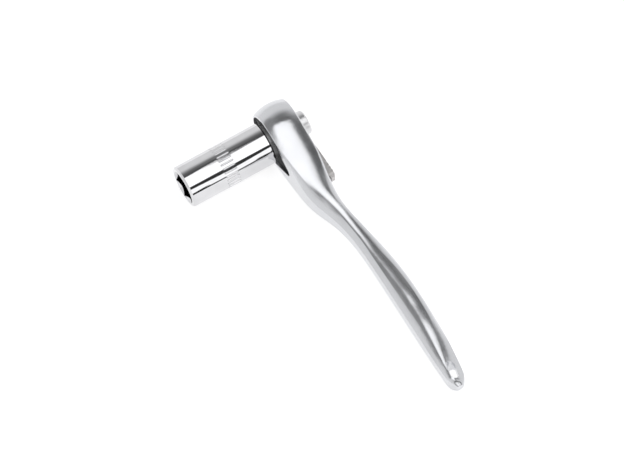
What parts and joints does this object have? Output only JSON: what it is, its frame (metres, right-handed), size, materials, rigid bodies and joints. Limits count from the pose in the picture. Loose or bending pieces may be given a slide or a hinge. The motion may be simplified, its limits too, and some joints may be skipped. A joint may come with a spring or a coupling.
{
  "type": "mini ratchet",
  "caption": "Small quarter-inch ratchet with an S-curved chrome handle, reversing lever, release button and a fitted hexagon socket.",
  "frame": {"origin": "on the drive axis, at the drive-side face of the head", "axes": "+X along the handle, +Y along the drive axis towards the release button, +Z sideways across the handle"},
  "size_m": [0.0975, 0.0372, 0.018],
  "materials": {
    "satin_chrome": "satin chrome plating",
    "mirror_chrome": "mirror chrome plating",
    "polished_chrome": "polished chrome plating",
    "black_plate": "black oxide steel, satin",
    "dark_steel": "dark spring steel",
    "bright_steel": "ground steel",
    "cast_lever": "matte brownish grey casting",
    "black_rubber": "matte rubber"
  },
  "bodies": {
    "head": {"handle_body": "satin_chrome", "cover_plate": "black_plate", "cover_screws": "dark_steel", "gear_thrust_washer": "bright_steel", "hub_seal_ring": "black_rubber", "pawl_pin": "bright_steel"},
    "drive": {"drive_gear": "polished_chrome", "button_stop_ring": "dark_steel"},
    "button": {"release_button": "polished_chrome", "release_rod": "bright_steel", "release_spring": "bright_steel"},
    "ball": {"locking_ball": "bright_steel"},
    "socket": {"socket": "mirror_chrome"},
    "lever": {"reversing_lever": "cast_lever", "lever_shaft": "bright_steel", "lever_clip": "dark_steel", "lever_seal_ring": "black_rubber", "detent_spring": "bright_steel"},
    "plunger": {"detent_plunger": "bright_steel"},
    "pawl": {"pawl": "bright_steel"}
  },
  "joints": [
    {"name": "drive_spin", "type": "hinge", "parent": "head", "child": "drive", "pos_m": [0, 0, 0], "axis": [0, 1, 0], "continuous": true},
    {"name": "lever_turn", "type": "hinge", "parent": "head", "child": "lever", "pos_m": [0.0091, 0, 0], "axis": [0, 1, 0], "range_deg": [-20, 20]},
    {"name": "pawl_rock", "type": "hinge", "parent": "head", "child": "pawl", "pos_m": [0.00655, 0, 0], "axis": [0, 1, 0], "range_deg": [-4.5, 4.5]},
    {"name": "plunger_slide", "type": "slide", "parent": "lever", "child": "plunger", "axis": [1, 0, 0], "range_m": [0, 0.0003], "stiffness_N_per_m": 400, "deforming": ["detent_spring"]},
    {"name": "button_press", "type": "slide", "parent": "drive", "child": "button", "axis": [0, -1, 0], "range_m": [0, 0.0018], "stiffness_N_per_m": 900, "deforming": ["release_spring"]},
    {"name": "ball_slide", "type": "slide", "parent": "drive", "child": "ball", "axis": [-1, 0, 0], "range_m": [0, 0.00033]},
    {"name": "socket_pull", "type": "slide", "parent": "drive", "child": "socket", "axis": [0, -1, 0], "range_m": [0, 0.01]}
  ],
  "couplings": [
    {"joint": "pawl_rock", "follows": "lever_turn", "ratio": -0.225},
    {"joint": "ball_slide", "follows": "button_press", "ratio": 0.17778}
  ]
}
